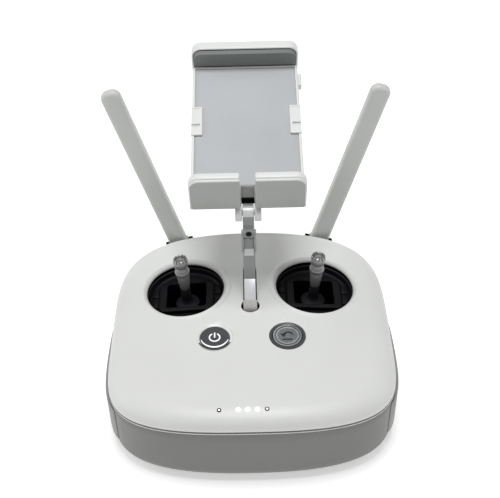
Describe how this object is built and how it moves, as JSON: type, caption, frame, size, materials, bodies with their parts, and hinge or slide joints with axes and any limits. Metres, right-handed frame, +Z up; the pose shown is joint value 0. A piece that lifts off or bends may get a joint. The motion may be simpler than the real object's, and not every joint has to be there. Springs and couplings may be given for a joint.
{
  "type": "radio transmitter controller",
  "caption": "Handheld twin-stick radio transmitter with folding arm, sliding device clamp, two paddle antennas and push buttons.",
  "frame": {"origin": "on the flat underside, below the foot of the folding arm", "axes": "+Z up out of the top face, +Y away from the user towards the antennas, +X to the right of the user"},
  "size_m": [0.1878, 0.2306, 0.178],
  "materials": {
    "housing_white": "satin white moulded plastic",
    "grip_grey": "mid-grey soft-touch plastic",
    "button_grey": null,
    "pad_grey": "matte grey rubber sheet",
    "jaw_grey": "dark grey-green rubber facing",
    "well_black": "near-black moulded plastic",
    "stick_silver": "satin turned metal",
    "arm_metal": "bead-blasted die casting",
    "antenna_grey": "satin light-grey plastic",
    "steel": "plain steel pins, shafts and screws",
    "screw_black": "black oxide screw",
    "light_white": "milky light pipe",
    "board_green": "green solder mask",
    "battery_wrap": "dark shrink wrap",
    "socket_metal": "plated socket shells"
  },
  "bodies": {
    "housing": {"arm_cradle": "well_black", "arm_pin": "steel", "battery_light_pipe": "light_white", "battery_pack": "battery_wrap", "case_screw_left_far": "steel", "case_screw_left_near": "steel", "case_screw_right_far": "steel", "case_screw_right_near": "steel", "left_antenna_bracket": "well_black", "left_gimbal_cup": "well_black", "left_gimbal_frame": "well_black", "left_grip": "grip_grey", "lower_shell": "housing_white", "main_board": "board_green", "power_bezel": "grip_grey", "power_socket": "socket_metal", "return_bezel": "grip_grey", "right_antenna_bracket": "well_black", "right_gimbal_cup": "well_black", "right_gimbal_frame": "well_black", "right_grip": "grip_grey", "status_lens": "light_white", "top_shell": "housing_white", "usb_socket": "socket_metal"},
    "arm": {"lower_arm": "arm_metal", "upper_arm": "arm_metal", "arm_screw": "screw_black", "tilt_pin": "steel"},
    "holder": {"clamp_base": "housing_white", "left_wing": "housing_white", "right_wing": "housing_white", "clamp_pad": "pad_grey", "left_side_tab": "housing_white", "right_side_tab": "housing_white"},
    "jaw": {"top_jaw": "housing_white", "jaw_pad": "jaw_grey"},
    "release": {"release_button": "grip_grey"},
    "left_yoke": {"left_gimbal_yoke": "well_black"},
    "left_stick": {"left_stick_shaft": "steel", "left_stick_boot": "well_black", "left_stick_cap": "stick_silver"},
    "right_yoke": {"right_gimbal_yoke": "well_black"},
    "right_stick": {"right_stick_shaft": "steel", "right_stick_boot": "well_black", "right_stick_cap": "stick_silver"},
    "left_antenna": {"left_antenna": "antenna_grey", "left_antenna_pin": "steel"},
    "right_antenna": {"right_antenna": "antenna_grey", "right_antenna_pin": "steel"},
    "power_button": {"power_button": "button_grey"},
    "return_button": {"return_button": "button_grey"},
    "record_button": {"record_button": "grip_grey"},
    "shutter_button": {"shutter_button": "grip_grey"},
    "playback_button": {"playback_button": "grip_grey"},
    "rear_button_left": {"rear_button_left": "grip_grey"},
    "rear_button_right": {"rear_button_right": "grip_grey"},
    "gimbal_dial": {"gimbal_dial": "grip_grey"},
    "settings_dial": {"settings_dial": "grip_grey"},
    "mode_switch": {"mode_switch": "grip_grey"}
  },
  "joints": [
    {"name": "arm_fold", "type": "hinge", "parent": "housing", "child": "arm", "pos_m": [0, 0, 0.05], "axis": [-1, 0, 0], "range_deg": [0, 48]},
    {"name": "holder_tilt", "type": "hinge", "parent": "arm", "child": "holder", "pos_m": [0, 0.022, 0.1185], "axis": [1, 0, 0], "range_deg": [-30, 70]},
    {"name": "jaw_slide", "type": "slide", "parent": "holder", "child": "jaw", "axis": [0, 0.9744, 0.225], "range_m": [0, 0.05]},
    {"name": "release_press", "type": "slide", "parent": "holder", "child": "release", "axis": [-1, 0, 0], "range_m": [0, 0.0014], "stiffness_N_per_m": 400},
    {"name": "left_stick_forward", "type": "hinge", "parent": "housing", "child": "left_yoke", "pos_m": [-0.04149, 0.0185, 0.03106], "axis": [0.9976, 0, 0.0698], "range_deg": [-20, 20], "stiffness_Nm_per_rad": 0.06},
    {"name": "left_stick_sideways", "type": "hinge", "parent": "left_yoke", "child": "left_stick", "pos_m": [-0.04149, 0.0185, 0.03106], "axis": [0, 1, 0], "range_deg": [-20, 20], "stiffness_Nm_per_rad": 0.06},
    {"name": "right_stick_forward", "type": "hinge", "parent": "housing", "child": "right_yoke", "pos_m": [0.04149, 0.0185, 0.03106], "axis": [0.9976, 0, -0.0698], "range_deg": [-20, 20], "stiffness_Nm_per_rad": 0.06},
    {"name": "right_stick_sideways", "type": "hinge", "parent": "right_yoke", "child": "right_stick", "pos_m": [0.04149, 0.0185, 0.03106], "axis": [0, 1, 0], "range_deg": [-20, 20], "stiffness_Nm_per_rad": 0.06},
    {"name": "left_antenna_fold", "type": "hinge", "parent": "housing", "child": "left_antenna", "pos_m": [-0.0503, 0.086, 0.036], "axis": [-0.9613, 0, -0.2756], "range_deg": [0, 85]},
    {"name": "right_antenna_fold", "type": "hinge", "parent": "housing", "child": "right_antenna", "pos_m": [0.0503, 0.086, 0.036], "axis": [-0.9613, 0, 0.2756], "range_deg": [0, 85]},
    {"name": "power_press", "type": "slide", "parent": "housing", "child": "power_button", "axis": [0, 0, -1], "range_m": [0, 0.001], "stiffness_N_per_m": 300},
    {"name": "return_press", "type": "slide", "parent": "housing", "child": "return_button", "axis": [0, 0, -1], "range_m": [0, 0.001], "stiffness_N_per_m": 300},
    {"name": "record_press", "type": "slide", "parent": "housing", "child": "record_button", "axis": [0.4519, -0.8921, 0], "range_m": [0, 0.0012], "stiffness_N_per_m": 300},
    {"name": "shutter_press", "type": "slide", "parent": "housing", "child": "shutter_button", "axis": [-0.4821, -0.8761, 0], "range_m": [0, 0.0012], "stiffness_N_per_m": 300},
    {"name": "playback_press", "type": "slide", "parent": "housing", "child": "playback_button", "axis": [-0.288, -0.9576, 0], "range_m": [0, 0.0012], "stiffness_N_per_m": 300},
    {"name": "rear_left_press", "type": "slide", "parent": "housing", "child": "rear_button_left", "axis": [0, 0, 1], "range_m": [0, 0.0008], "stiffness_N_per_m": 300},
    {"name": "rear_right_press", "type": "slide", "parent": "housing", "child": "rear_button_right", "axis": [0, 0, 1], "range_m": [0, 0.0008], "stiffness_N_per_m": 300},
    {"name": "gimbal_dial_turn", "type": "hinge", "parent": "housing", "child": "gimbal_dial", "pos_m": [-0.07173, 0.05853, 0.033], "axis": [0, 0, 1], "range_deg": [-30, 30], "stiffness_Nm_per_rad": 0.01},
    {"name": "settings_dial_turn", "type": "hinge", "parent": "housing", "child": "settings_dial", "pos_m": [0.07173, 0.05853, 0.033], "axis": [0, 0, 1], "continuous": true},
    {"name": "mode_slide", "type": "slide", "parent": "housing", "child": "mode_switch", "axis": [0.9954, -0.0962, 0], "range_m": [-0.005, 0.005]}
  ]
}
